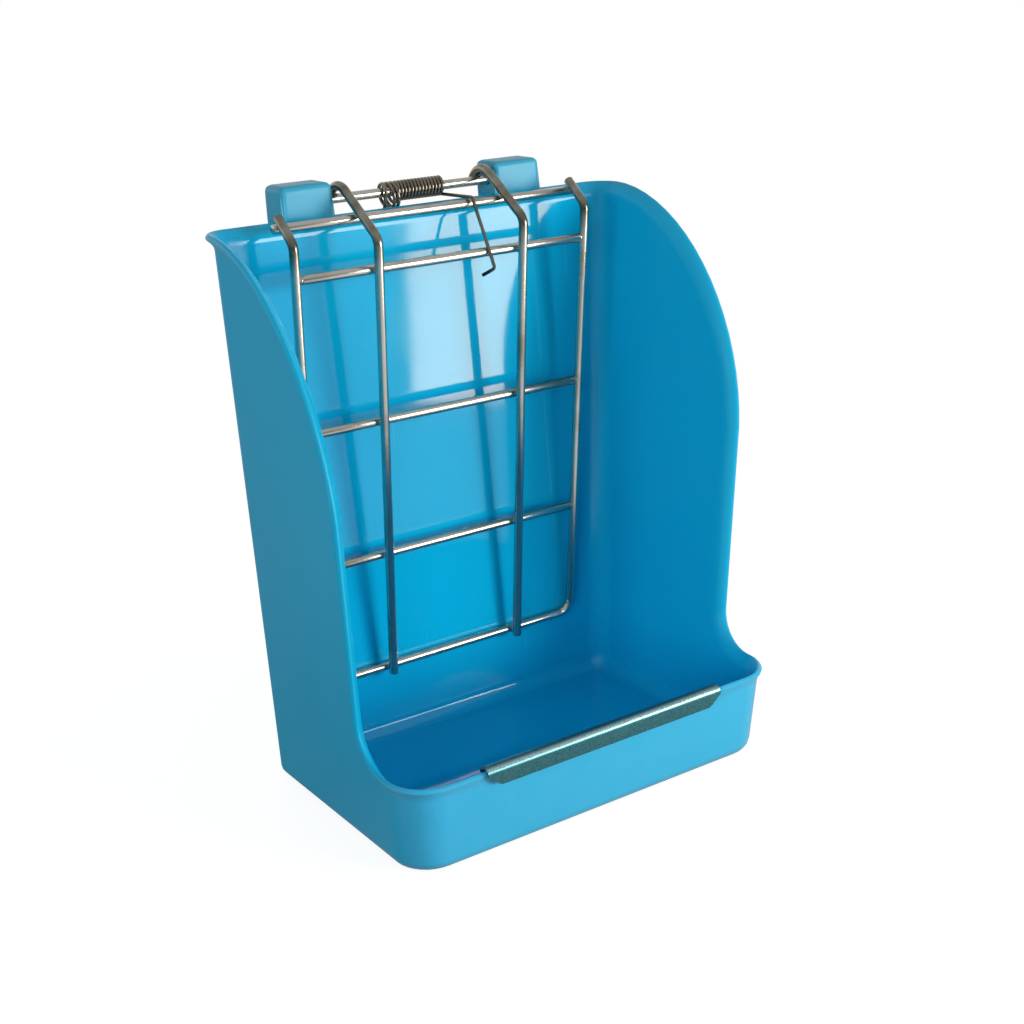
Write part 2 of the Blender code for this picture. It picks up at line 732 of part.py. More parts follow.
def make_grille(parts, hinge, material):
    """Wire grille, every piece placed from the hinge axis."""
    frame_wire = wire_curve("grille_frame_wire", frame_wire_points(), WIRE, WIRE_RESOLUTION)
    place("grille_frame_wire", frame_wire, parts, hinge, material)
    for side, label in ((-1, "left"), (1, "right")):
        name = f"grille_wire_{label}"
        place(name, wire_curve(name, upright_points(side), WIRE, WIRE_RESOLUTION), parts, hinge, material)
    top_length = taper(FRAME_BOTTOM_WIDTH, FRAME_TOP_WIDTH, TOP_ROD_Z) + 2 * TOP_ROD_OVERHANG
    top_mesh = rod_mesh("grille_top_rod", WIRE, top_length, WIRE_END_ROUND)
    top_rod = place("grille_top_rod", top_mesh, parts, hinge, material)
    top_rod.location = from_hinge(0, TOP_ROD_Y, TOP_ROD_Z)
    for label, rise in (("lower", CROSS_LOWER), ("middle", CROSS_MIDDLE), ("upper", CROSS_UPPER)):
        z = BOTTOM_WIRE_HEIGHT + rise
        length = taper(FRAME_BOTTOM_WIDTH, FRAME_TOP_WIDTH, z) - WIRE - 2 * FIT_GAP
        name = f"grille_cross_{label}"
        cross = place(name, rod_mesh(name, WIRE, length, WIRE_END_ROUND), parts, hinge, material)
        cross.location = from_hinge(0, grille_y(z), z)


def coil_points():
    """Spring coil from its right end: tight turns, then loose turns that hang lower."""
    turns = TIGHT_TURNS + LOOSE_TURNS
    count = round(turns * TURN_POINTS)
    points = []
    for step in range(count + 1):
        turn = turns * step / count
        loose = max(0.0, turn - TIGHT_TURNS)
        grown = min(1.0, loose / LOOSE_BLEND, (turns - turn) / LOOSE_BLEND)
        radius = SPRING_RADIUS + LOOSE_GROWTH * grown
        angle = 2 * math.pi * turn - math.pi / 2
        x = SPRING_RIGHT - SPRING_PITCH * (turn - loose) - LOOSE_PITCH * loose
        x += LOOSE_TILT * grown ** 2 * (1 - math.sin(angle)) / 2
        y = radius * math.cos(angle)
        z = radius * math.sin(angle) - LOOSE_GROWTH * grown
        points.append(Vector((x, y, z)))
    return points


def front_leg_points(start):
    """Spring leg over the top rod and down the front of the upper cross wire, with a bent foot."""
    touch = (WIRE + SPRING_WIRE) / 2 + FIT_GAP
    cross_z = BOTTOM_WIRE_HEIGHT + CROSS_UPPER
    over = from_hinge(FRONT_LEG_X, TOP_ROD_Y - touch, TOP_ROD_Z + touch)
    press = from_hinge(FRONT_LEG_X, grille_y(cross_z) - touch, cross_z)
    knee = press + (press - over) * FRONT_LEG_TAIL / abs(press.z - over.z)
    foot = knee - Vector((FRONT_FOOT, 0, FRONT_FOOT_DROP))
    return bent_path([start, over, knee, foot], (LEG_BEND, LEG_BEND))


def rear_leg_points(start):
    """Spring leg down behind the back wall, leaning on the edge of its lip."""
    lean_y = back_y(RIM_HEIGHT) + LIP_REACH + SPRING_WIRE / 2 + FIT_GAP
    turn = from_hinge(start.x, lean_y, RIM_HEIGHT + REAR_LEG_RISE)
    end = from_hinge(start.x, lean_y, RIM_HEIGHT - REAR_LEG)
    return bent_path([start, turn, end], (LEG_BEND,))


def least_gap(points):
    """Least gap of the spring's wire to itself, between points more than half a turn apart along it."""
    runs = [0.0]
    for before, after in zip(points[:-1], points[1:]):
        runs.append(runs[-1] + (after - before).length)
    least = math.inf
    for index, point in enumerate(points):
        for other, run in zip(points[index:], runs[index:]):
            if run - runs[index] > math.pi * SPRING_RADIUS:
                least = min(least, (other - point).length)
    return least - SPRING_WIRE


def make_spring(parts, hinge, material):
    """Torsion spring: front leg, coil and rear leg as one wire."""
    coil = coil_points()
    points = list(reversed(front_leg_points(coil[0])))[:-1] + coil + rear_leg_points(coil[-1])[1:]
    print(f"spring gap to itself {least_gap(points) * 1000:.2f} mm")
    wire = wire_curve("torsion_spring", points, SPRING_WIRE, SPRING_RESOLUTION)
    place("torsion_spring", wire, parts, hinge, material)


def guard_profile():
    """Inside of the guard in (y, z), from the front flange's foot over the lip to the short return."""
    tilt = math.atan(LIP_CURVE * FRONT_LIP_REACH / LIP_HEIGHT)
    top = FRONT_HEIGHT + WALL * math.sin(tilt) + 2 * FIT_GAP
    front = FRONT_LIP_Y - FIT_GAP
    back = front_y(FRONT_HEIGHT) + WALL - lip_out(GUARD_RETURN, FRONT_LIP_REACH) + FIT_GAP
    corners = [
        Vector((0, front, top - GUARD_FLANGE)),
        Vector((0, front, top)),
        Vector((0, back, top)),
        Vector((0, back, top - GUARD_RETURN)),
    ]
    return bent_path(corners, (GUARD_BEND, GUARD_BEND))


def guard_foot():
    """Foot of the front flange along the guard, slanted up at both ends: (x, 0, lift)."""
    end = Vector((GUARD_LENGTH / 2, 0, GUARD_FLANGE - GUARD_BEND - GUARD_SHEET))
    corners = [Vector((-end.x, 0, end.z))]
    corners.append(Vector((GUARD_SLANT - end.x, 0, 0)))
    corners.append(Vector((end.x - GUARD_SLANT, 0, 0)))
    corners.append(end)
    return bent_path(corners, (GUARD_CORNER, GUARD_CORNER))


def make_guard(parts, frame, material):
    """Chew guard: a bent strip over the front lip, its front flange slanted at both ends."""
    profile = guard_profile()
    columns = []
    for place_along in guard_foot():
        column = [point + Vector((place_along.x, 0, 0)) for point in profile]
        column[0].z += place_along.z
        columns.append(column)
    bm = bmesh.new()
    add_grid(bm, columns)
    mesh = bpy.data.meshes.new("chew_guard")
    finish_mesh(mesh, bm)
    guard = place("chew_guard", mesh, parts, frame, material)
    sheet = guard.modifiers.new("sheet", "SOLIDIFY")
    sheet.thickness = GUARD_SHEET
    sheet.offset = 1
    sheet.use_even_offset = True


def make_hinge_rod(parts, hinge, material):
    """Rod that the grille hangs on, seated in both hook blocks."""
    mesh = rod_mesh("hinge_rod", HINGE_ROD, HOOK_SPACING + 2 * ROD_SEAT)
    place("hinge_rod", mesh, parts, hinge, material)


def main():
    """Build the whole feeder."""
    clear_scene()
    parts = new_collection("hay_feeder")
    cutters = new_collection("cutters")
    frame = make_empty("feeder_frame", (0, DEPTH_SHIFT, 0), parts)
    hinge = make_empty("hinge_axis", (0, HINGE_Y, HINGE_Z), parts, frame)
    steel = plated_wire()
    make_tub(parts, cutters, frame, blue_plastic())
    make_guard(parts, frame, guard_sheet())
    make_hinge_rod(parts, hinge, steel)
    make_grille(parts, hinge, steel)
    make_spring(parts, hinge, spring_wire())


main()
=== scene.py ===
"""Looks for a hanging hay feeder: glossy blue tub, plated wire grille, torsion spring and chew guard.

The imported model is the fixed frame. The tub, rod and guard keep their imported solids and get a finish. The
grille's wires and the spring are drawn again as round wire, with the welds that hold the wires together.
"""
from __future__ import annotations

import json
import logging
import math
from collections.abc import Iterable, Sequence
from dataclasses import dataclass, field, replace
from enum import Enum

import bmesh
import bpy
from mathutils import Matrix, Vector

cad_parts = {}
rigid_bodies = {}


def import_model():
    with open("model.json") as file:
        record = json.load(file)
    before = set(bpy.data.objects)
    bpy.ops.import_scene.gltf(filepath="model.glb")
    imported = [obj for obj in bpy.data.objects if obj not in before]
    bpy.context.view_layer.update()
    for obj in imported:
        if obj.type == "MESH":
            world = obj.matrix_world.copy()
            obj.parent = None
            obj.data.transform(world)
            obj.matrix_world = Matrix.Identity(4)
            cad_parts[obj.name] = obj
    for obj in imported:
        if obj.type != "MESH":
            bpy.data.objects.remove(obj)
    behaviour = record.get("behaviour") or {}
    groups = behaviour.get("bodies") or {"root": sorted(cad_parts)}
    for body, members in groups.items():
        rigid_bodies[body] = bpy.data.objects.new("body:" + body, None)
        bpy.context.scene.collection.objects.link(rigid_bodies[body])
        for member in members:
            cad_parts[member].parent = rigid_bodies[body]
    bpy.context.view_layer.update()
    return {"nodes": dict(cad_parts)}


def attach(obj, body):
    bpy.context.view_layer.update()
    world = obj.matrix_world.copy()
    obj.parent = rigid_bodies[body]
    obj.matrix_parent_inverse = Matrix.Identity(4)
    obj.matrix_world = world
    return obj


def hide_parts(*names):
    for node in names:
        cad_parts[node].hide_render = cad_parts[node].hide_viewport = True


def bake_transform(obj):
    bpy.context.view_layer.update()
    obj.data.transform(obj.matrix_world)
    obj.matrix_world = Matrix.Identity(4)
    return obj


LOG = logging.getLogger("hay_feeder")
Rgb = tuple[float, float, float]
Point = tuple[float, float, float]
Span = tuple[float, float]
Socket = bpy.types.NodeSocket
RISE: Span = (0.0, 1.0)
FALL: Span = (1.0, 0.0)
WHITE: Rgb = (1.0, 1.0, 1.0)
JOIN_DISTANCE = 0.000005


class Side(Enum):
    """Left or right of the feeder, seen from its open front."""

    LEFT = -1
    RIGHT = 1


class Body(Enum):
    """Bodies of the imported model."""

    FEEDER = "feeder"
    GRILLE = "grille"


class Slot(Enum):
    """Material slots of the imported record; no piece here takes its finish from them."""

    WIRE = "plated_wire"
    SPRING = "spring_wire"


class Graph:
    """Node tree of one material or world, with short calls to fill it."""

    def __init__(self, owner: bpy.types.Material | bpy.types.World) -> None:
        """Start an empty tree.

        Args:
            owner: material or world that gets the nodes.
        """
        owner.use_nodes = True
        self.tree = owner.node_tree
        self.tree.nodes.clear()

    def add(self, kind: str, inputs: dict[str, object] | None = None, **settings: object) -> bpy.types.Node:
        """Add a node.

        Args:
            kind: Blender's name of the node type.
            inputs: socket name to a constant, or to an output socket that is linked to it.
            settings: properties of the node itself.

        Returns:
            The new node.
        """
        node = self.tree.nodes.new(kind)
        for name, value in settings.items():
            setattr(node, name, value)
        for name, value in (inputs or {}).items():
            self.put(node.inputs[name], value)
        return node

    def put(self, socket: Socket, value: object) -> None:
        """Link a socket to an input, or set the input to a constant.

        Args:
            socket: input socket.
            value: output socket, number, vector or colour without its alpha.
        """
        if isinstance(value, Socket):
            self.tree.links.new(value, socket)
        elif socket.type == "RGBA":
            socket.default_value = (*value, 1.0)
        else:
            socket.default_value = value

    def math(self, operation: str, first: object, second: object = 0.0) -> Socket:
        """Add a math node.

        Args:
            operation: name of the operation.
            first: first number or socket.
            second: second number or socket.

        Returns:
            Its output socket.
        """
        node = self.add("ShaderNodeMath", operation=operation)
        for socket, value in zip(node.inputs, (first, second)):
            self.put(socket, value)
        return node.outputs["Value"]

    def noise(self, vector: Socket, scale: float, detail: float = 2.0) -> Socket:
        """Add a noise texture.

        Args:
            vector: coordinates.
            scale: cells per metre.
            detail: octaves.

        Returns:
            Its factor socket.
        """
        node = self.add("ShaderNodeTexNoise", {"Vector": vector, "Scale": scale, "Detail": detail})
        return node.outputs["Fac"]

    def band(self, value: Socket, source: Span, target: Span) -> Socket:
        """Map a range of numbers to another, clamped.

        Args:
            value: socket to map.
            source: two numbers that come in, the lower one first.
            target: numbers that these become.

        Returns:
            The mapped socket.
        """
        limits = {"Value": value, "From Min": source[0], "From Max": source[1]}
        limits |= {"To Min": target[0], "To Max": target[1]}
        return self.add("ShaderNodeMapRange", limits, clamp=True).outputs["Result"]

    def mix(self, factor: object, first: object, second: object) -> Socket:
        """Mix two colours.

        Args:
            factor: share of the second colour.
            first: colour or socket.
            second: colour or socket.

        Returns:
            The mixed colour socket.
        """
        node = self.add("ShaderNodeMix", data_type="RGBA")
        sockets = (node.inputs["Factor"], *[item for item in node.inputs if item.type == "RGBA"])
        for socket, value in zip(sockets, (factor, first, second)):
            self.put(socket, value)
        return next(item for item in node.outputs if item.type == "RGBA")

    def mix_shaders(self, share: Socket, first: Socket, second: Socket) -> Socket:
        """Mix two shaders.

        Args:
            share: share of the second shader.
            first: first shader.
            second: second shader.

        Returns:
            The mixed shader socket.
        """
        node = self.add("ShaderNodeMixShader")
        for socket, value in zip(node.inputs, (share, first, second)):
            self.put(socket, value)
        return node.outputs["Shader"]

    def bump(self, height: Socket, strength: float, depth: float, normal: Socket | None = None) -> Socket:
        """Add a bump node.

        Args:
            height: height socket, 0 to 1.
            strength: share of the effect.
            depth: height in metres.
            normal: normal socket of an earlier bump.

        Returns:
            The normal socket.
        """
        inputs: dict[str, object] = {"Height": height, "Strength": strength, "Distance": depth}
        if normal is not None:
            inputs["Normal"] = normal
        return self.add("ShaderNodeBump", inputs).outputs["Normal"]

    def surface(self, shader: Socket, output: str = "ShaderNodeOutputMaterial") -> None:
        """Link a shader to the tree's output."""
        self.add(output, {"Surface": shader})


@dataclass(frozen=True)
class GlossPlastic:
    """Glossy moulded plastic with flow marks, scratches and dust.

    The side panels and the hooks are satin, the hooks are greyer, and the front wall is painted paler as a
    sheen.
    """

    colour: Rgb = (0.003, 0.460, 0.765)
    deep: Rgb = (0.002, 0.435, 0.740)
    scratch_and_sheen: Rgb = (0.10, 0.52, 0.86)
    hook: Rgb = (0.04, 0.375, 0.560)
    dust_colour: Rgb = (0.03, 0.10, 0.15)
    roughness: Span = (0.05, 0.085)
    side_roughness: float = 0.36
    hook_roughness: float = 0.42
    side_from: float = 0.068
    side_blend: float = 0.008
    front_from: float = 0.044
    front_blend: float = 0.005
    front_sheen: float = 0.42
    hook_from: float = 0.2015
    hook_blend: float = 0.002
    blotch_scale: float = 130.0
    blotch_cut: Span = (0.3, 0.7)
    blotch_share: Span = (0.75, 1.0)
    flow_scale: float = 11.0
    flow_cut: Span = (0.35, 0.65)
    gloss_scale: float = 55.0
    gloss_cut: Span = (0.35, 0.7)
    scratch_sets: tuple[tuple[Point, Point], ...] = (
        ((0.2, 0.7, 0.9), (30.0, 900.0, 30.0)),
        ((0.8, -0.55, -0.6), (850.0, 24.0, 34.0)),
    )
    scratch_cut: Span = (0.715, 0.745)
    scratch_share: float = 0.22
    scratch_roughness: float = 0.12
    patch_scale: float = 17.0
    patch_cut: Span = (0.52, 0.62)
    dust_scale: float = 95.0
    dust_size: Span = (0.035, 0.055)
    dust_least: float = 0.86
    dust_share: float = 0.8
    dust_roughness: float = 0.5
    wave_scale: float = 24.0
    wave_strength: float = 0.35
    wave_depth: float = 0.00022
    grain_scale: float = 2600.0
    grain_strength: float = 0.3
    grain_depth: float = 0.000004
    ior: float = 1.5
    specular: float = 0.38

    def material(self, name: str) -> bpy.types.Material:
        """Make the material.

        Args:
            name: name of the material.

        Returns:
            The material.
        """
        made = bpy.data.materials.new(name)
        graph = Graph(made)
        place = graph.add("ShaderNodeTexCoord").outputs["Object"]
        axes = graph.add("ShaderNodeSeparateXYZ", {"Vector": place}).outputs
        on_hook = graph.band(axes["Z"], (self.hook_from, self.hook_from + self.hook_blend), RISE)
        scratch = self.scratches(graph, place)
        dust = self.dust(graph, place)
        colour = self.flow_hook_and_sheen_colour(graph, place, axes["Y"], on_hook)
        colour = graph.mix(graph.math("MULTIPLY", scratch, self.scratch_share), colour, self.scratch_and_sheen)
        colour = graph.mix(graph.math("MULTIPLY", dust, self.dust_share), colour, self.dust_colour)
        gloss = self.gloss(graph, place, axes["X"], on_hook)
        gloss = graph.math("ADD", gloss, graph.math("MULTIPLY", scratch, self.scratch_roughness))
        gloss = graph.math("ADD", gloss, graph.math("MULTIPLY", dust, self.dust_roughness))
        waves = graph.noise(place, self.wave_scale, 1.0)
        normal = graph.bump(waves, self.wave_strength, self.wave_depth)
        grain = graph.noise(place, self.grain_scale, 1.0)
        normal = graph.bump(grain, self.grain_strength, self.grain_depth, normal)
        shader = graph.add("ShaderNodeBsdfPrincipled", {"Base Color": colour, "Roughness": gloss,
                                                        "Normal": normal, "IOR": self.ior,
                                                        "Specular IOR Level": self.specular})
        graph.surface(shader.outputs["BSDF"])
        return made

    def flow_hook_and_sheen_colour(self, graph: Graph, place: Socket, depth: Socket, on_hook: Socket) -> Socket:
        """Colour with flow marks, greyer on the hooks and paler on the front wall as a painted sheen.

        Args:
            graph: tree to fill.
            place: coordinates.
            depth: coordinate from front to back.
            on_hook: socket that is 1 on the hooks and 0 below them.

        Returns:
            The colour socket.
        """
        flow = graph.noise(place, self.flow_scale, 3.0)
        colour = graph.mix(graph.band(flow, self.flow_cut, RISE), self.deep, self.colour)
        blotches = graph.band(graph.noise(place, self.blotch_scale, 4.0), self.blotch_cut, self.blotch_share)
        colour = graph.mix(graph.math("MULTIPLY", on_hook, blotches), colour, self.hook)
        # Painted sheen: the front wall is painted paler here, with the same paler colour that marks the
        # scratches.
        front_edge = (-self.front_from - self.front_blend, -self.front_from)
        on_front = graph.band(depth, front_edge, (self.front_sheen, 0.0))
        return graph.mix(graph.math("MULTIPLY", on_front, blotches), colour, self.scratch_and_sheen)

    def gloss(self, graph: Graph, place: Socket, across: Socket, on_hook: Socket) -> Socket:
        """Roughness, low on the back wall and higher on the side panels and hooks.

        Args:
            graph: tree to fill.
            place: coordinates.
            across: coordinate from left to right.
            on_hook: socket that is 1 on the hooks and 0 below them.

        Returns:
            The roughness socket.
        """
        base = self.roughness[1]
        gloss = graph.band(graph.noise(place, self.gloss_scale, 4.0), self.gloss_cut, self.roughness)
        side_edge = (self.side_from, self.side_from + self.side_blend)
        side = graph.band(graph.math("ABSOLUTE", across), side_edge, (0.0, self.side_roughness - base))
        hook = graph.math("MULTIPLY", on_hook, self.hook_roughness - base)
        return graph.math("ADD", gloss, graph.math("MAXIMUM", side, hook))

    def scratches(self, graph: Graph, place: Socket) -> Socket:
        """Fine handling scratches.

        Args:
            graph: tree to fill.
            place: coordinates.

        Returns:
            Socket that is 1 in a scratch and 0 elsewhere.
        """
        total: Socket | None = None
        for turn, stretch in self.scratch_sets:
            turned = graph.add("ShaderNodeMapping", {"Vector": place, "Rotation": turn, "Scale": stretch})
            lines = graph.noise(turned.outputs["Vector"], 1.0, 1.0)
            cut = graph.band(lines, self.scratch_cut, RISE)
            total = cut if total is None else graph.math("MAXIMUM", total, cut)
        patches = graph.band(graph.noise(place, self.patch_scale, 1.0), self.patch_cut, RISE)
        return graph.math("MULTIPLY", total, patches)

    def dust(self, graph: Graph, place: Socket) -> Socket:
        """Sparse specks of hay dust.

        Args:
            graph: tree to fill.
            place: coordinates.

        Returns:
            Socket that is 1 in a speck and 0 elsewhere.
        """
        cells = graph.add("ShaderNodeTexVoronoi", {"Vector": place, "Scale": self.dust_scale})
        speck = graph.band(cells.outputs["Distance"], self.dust_size, FALL)
        chosen = graph.add("ShaderNodeSeparateColor", {"Color": cells.outputs["Color"]}).outputs["Red"]
        return graph.math("MULTIPLY", speck, graph.math("GREATER_THAN", chosen, self.dust_least))


@dataclass(frozen=True)
class PlatedWire:
    """Bright plated wire with drawing lines along it and a few dull spots.

    A patina with painted shade darkens it above a height, and a tip covers the first stretch of the wire,
    where these are set.
    """

    colour: Rgb = (0.57, 0.555, 0.50)
    tarnish: Rgb = (0.27, 0.253, 0.195)
    patina_and_shade_colour: Rgb = (0.13, 0.118, 0.082)
    roughness: Span = (0.23, 0.33)
    line_scale: Point = (60.0, 9000.0, 1.0)
    line_cut: Span = (0.4, 0.7)
    line_share: float = 0.18
    line_strength: float = 0.25
    line_depth: float = 0.000006
    spot_scale: float = 48.0
    spot_cut: Span = (0.50, 0.72)
    spot_share: float = 0.8
    patina_and_shade_band: Span | None = None
    patina_and_shade_share: float = 0.9
    patch_scale: float = 130.0
    patch_cut: Span = (0.35, 0.65)
    patch_share: Span = (0.6, 1.0)
    tip: Rgb | None = None
    tip_length: float = 0.0
    tip_fade: float = 1.15

    def material(self, name: str) -> bpy.types.Material:
        """Make the material; its lines and tip need UVs in metres along and round the wire.

        Args:
            name: name of the material.

        Returns:
            The material.
        """
        made = bpy.data.materials.new(name)
        graph = Graph(made)
        coordinates = graph.add("ShaderNodeTexCoord")
        place = coordinates.outputs["Object"]
        run = coordinates.outputs["UV"]
        along = graph.add("ShaderNodeMapping", {"Vector": run, "Scale": self.line_scale})
        lines = graph.noise(along.outputs["Vector"], 1.0)
        spots = graph.band(graph.noise(place, self.spot_scale, 5.0), self.spot_cut, (0.0, self.spot_share))
        dull = graph.math("MULTIPLY", graph.band(lines, self.line_cut, RISE), self.line_share)
        dull = graph.math("MAXIMUM", dull, spots)
        colour = graph.mix(dull, self.colour, self.tarnish)
        # Darker above a height: patina and painted shade on the arms and hooks.
        if self.patina_and_shade_band is not None:
            height = graph.add("ShaderNodeSeparateXYZ", {"Vector": place}).outputs["Z"]
            patches = graph.band(graph.noise(place, self.patch_scale, 3.0), self.patch_cut, self.patch_share)
            patina_and_shade_mix = graph.math("MULTIPLY", graph.band(height, self.patina_and_shade_band, (0.0, self.patina_and_shade_share)), patches)
            colour = graph.mix(patina_and_shade_mix, colour, self.patina_and_shade_colour)
        if self.tip is not None:
            length = graph.add("ShaderNodeSeparateXYZ", {"Vector": run}).outputs["X"]
            near = graph.band(length, (self.tip_length, self.tip_length * self.tip_fade), FALL)
            colour = graph.mix(near, colour, self.tip)
        gloss = graph.band(dull, RISE, self.roughness)
        normal = graph.bump(lines, self.line_strength, self.line_depth)
        shader = graph.add("ShaderNodeBsdfPrincipled", {"Base Color": colour, "Roughness": gloss,
                                                        "Normal": normal, "Metallic": 1.0})
        graph.surface(shader.outputs["BSDF"])
        return made


@dataclass(frozen=True)
class GuardSheet:
    """Dark plated sheet with a fine grain and a painted highlight along its fold."""

    colour: Rgb = (0.026, 0.130, 0.155)
    light: Rgb = (0.062, 0.190, 0.212)
    painted_highlight: Rgb = (0.50, 0.70, 0.72)
    fold: Span = (0.0339, 0.0346)
    fold_edge: float = 0.0004
    roughness: Span = (0.26, 0.36)
    gloss_cut: Span = (0.3, 0.7)
    peel_scale: float = 2100.0
    peel_strength: float = 0.5
    peel_depth: float = 0.000018
    cloud_scale: float = 40.0
    cloud_share: float = 0.2
    light_cut: Span = (0.36, 0.68)
    speckle_cut: Span = (0.3, 0.6)
    speckle_share: Span = (0.55, 1.0)
    metallic: float = 0.85

    def material(self, name: str) -> bpy.types.Material:
        """Make the material.

        Args:
            name: name of the material.

        Returns:
            The material.
        """
        made = bpy.data.materials.new(name)
        graph = Graph(made)
        place = graph.add("ShaderNodeTexCoord").outputs["Object"]
        peel = graph.noise(place, self.peel_scale)
        cloud = graph.math("MULTIPLY", graph.noise(place, self.cloud_scale, 3.0), self.cloud_share)
        grain = graph.math("ADD", graph.math("MULTIPLY", peel, 1.0 - self.cloud_share), cloud)
        colour = graph.mix(graph.band(grain, self.light_cut, RISE), self.colour, self.light)
        height = graph.add("ShaderNodeSeparateXYZ", {"Vector": place}).outputs["Z"]
        # Painted highlight: a pale colour over the fold's range of heights.
        low, high = self.fold
        rising = graph.band(height, (low - self.fold_edge, low + self.fold_edge), RISE)
        falling = graph.band(height, (high - self.fold_edge, high + self.fold_edge), FALL)
        speckle = graph.band(peel, self.speckle_cut, self.speckle_share)
        highlight_share = graph.math("MULTIPLY", graph.math("MULTIPLY", rising, falling), speckle)
        colour = graph.mix(highlight_share, colour, self.painted_highlight)
        gloss = graph.band(peel, self.gloss_cut, self.roughness)
        normal = graph.bump(peel, self.peel_strength, self.peel_depth)
        shader = graph.add("ShaderNodeBsdfPrincipled", {"Base Color": colour, "Roughness": gloss,
                                                        "Normal": normal, "Metallic": self.metallic})
        graph.surface(shader.outputs["BSDF"])
        return made


@dataclass(frozen=True)
class PaleFloor:
    """Pale floor that the camera sees as white with the object's shadow in it.

    Mirrors see it dimmer behind the object and to its left. Its paper is painted darker close to the object
    as shade, so the light that it throws back there is weaker.
    """

    colour: Rgb = (0.44, 0.44, 0.44)
    shadow_colour: Rgb = (0.30, 0.30, 0.30)
    painted_shade_colour: Rgb = (0.07, 0.07, 0.07)
    painted_shade_reach: Span = (0.12, 0.27)
    glow: float = 0.88
    mirrored: Span = (0.82, 0.24)
    mirror_depth: Span = (-0.16, 0.02)
    mirror_side: Span = (-0.30, -0.05)
    side_share: Span = (0.2, 1.0)
    fade: Span = (0.16, 0.42)
    tint_scale: float = 3.0
    tint_cut: Span = (0.3, 0.7)
    tint_share: Span = (0.9, 1.0)

    def material(self, name: str) -> bpy.types.Material:
        """Make the material.

        Args:
            name: name of the material.

        Returns:
            The material.
        """
        made = bpy.data.materials.new(name)
        graph = Graph(made)
        place = graph.add("ShaderNodeTexCoord").outputs["Object"]
        reach = graph.add("ShaderNodeVectorMath", {"Vector": place}, operation="LENGTH").outputs["Value"]
        tint = graph.band(graph.noise(place, self.tint_scale), self.tint_cut, self.tint_share)
        # Painted shade: the paper is darker near the object, so less light bounces onto the feeder's foot.
        open_share = graph.math("MULTIPLY", graph.band(reach, self.painted_shade_reach, RISE), tint)
        paper = graph.mix(open_share, self.painted_shade_colour, self.colour)
        lit = graph.add("ShaderNodeBsdfDiffuse", {"Color": paper}).outputs["BSDF"]
        shade = graph.add("ShaderNodeBsdfDiffuse", {"Color": self.shadow_colour}).outputs["BSDF"]
        glow = graph.add("ShaderNodeEmission", {"Color": WHITE, "Strength": self.glow}).outputs["Emission"]
        white = graph.add("ShaderNodeEmission", {"Color": WHITE, "Strength": 1.0}).outputs["Emission"]
        near = graph.add("ShaderNodeAddShader")
        graph.put(near.inputs[0], shade)
        graph.put(near.inputs[1], glow)
        sheet = graph.mix_shaders(graph.band(reach, self.fade, RISE), near.outputs["Shader"], white)
        rays = graph.add("ShaderNodeLightPath").outputs
        axes = graph.add("ShaderNodeSeparateXYZ", {"Vector": place}).outputs
        mirrored = graph.math("MULTIPLY", graph.band(axes["Y"], self.mirror_depth, self.mirrored),
                              graph.band(axes["X"], self.mirror_side, self.side_share))
        glossy = graph.math("MULTIPLY", rays["Is Glossy Ray"], mirrored)
        seen = graph.math("MAXIMUM", rays["Is Camera Ray"], rays["Is Transmission Ray"])
        seen = graph.math("MAXIMUM", seen, glossy)
        graph.surface(graph.mix_shaders(seen, lit, sheet))
        return made


def smooth_group(name: str, angle: float) -> bpy.types.NodeTree:
    """Geometry nodes that drop a solid's own normals, join its faces and shade them smooth up to an angle.

    Args:
        name: name of the node group.
        angle: edges sharper than this stay sharp, in radians.

    Returns:
        The node group.
    """
    tree = bpy.data.node_groups.new(name, "GeometryNodeTree")
    tree.interface.new_socket("Geometry", in_out="INPUT", socket_type="NodeSocketGeometry")
    tree.interface.new_socket("Geometry", in_out="OUTPUT", socket_type="NodeSocketGeometry")
    start = tree.nodes.new("NodeGroupInput")
    plain = tree.nodes.new("GeometryNodeRemoveAttribute")
    plain.inputs["Name"].default_value = "custom_normal"
    join = tree.nodes.new("GeometryNodeMergeByDistance")
    join.inputs["Distance"].default_value = JOIN_DISTANCE
    smooth = tree.nodes.new("GeometryNodeSetShadeSmooth")
    smooth.domain = "FACE"
    edge = tree.nodes.new("GeometryNodeInputMeshEdgeAngle")
    compare = tree.nodes.new("FunctionNodeCompare")
    compare.data_type = "FLOAT"
    compare.operation = "GREATER_THAN"
    compare.inputs["B"].default_value = angle
    sharp = tree.nodes.new("GeometryNodeSetShadeSmooth")
    sharp.domain = "EDGE"
    sharp.inputs["Shade Smooth"].default_value = False
    end = tree.nodes.new("NodeGroupOutput")
    links = tree.links
    links.new(start.outputs[0], plain.inputs["Geometry"])
    links.new(plain.outputs["Geometry"], join.inputs["Geometry"])
    links.new(join.outputs["Geometry"], smooth.inputs["Geometry"])
    links.new(smooth.outputs["Geometry"], sharp.inputs["Geometry"])
    links.new(edge.outputs["Unsigned Angle"], compare.inputs["A"])
    links.new(compare.outputs["Result"], sharp.inputs["Selection"])
    links.new(sharp.outputs["Geometry"], end.inputs[0])
    return tree


def dress_node(node: bpy.types.Object, material: bpy.types.Material, group: bpy.types.NodeTree) -> None:
    """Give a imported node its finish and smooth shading.

    Args:
        node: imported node.
        material: finish.
        group: geometry nodes from smooth_group.
    """
    node.data.materials.clear()
    node.data.materials.append(material)
    joined = node.modifiers.new("joined", "NODES")
    joined.node_group = group
    weighted = node.modifiers.new("weighted normals", "WEIGHTED_NORMAL")
    weighted.keep_sharp = True


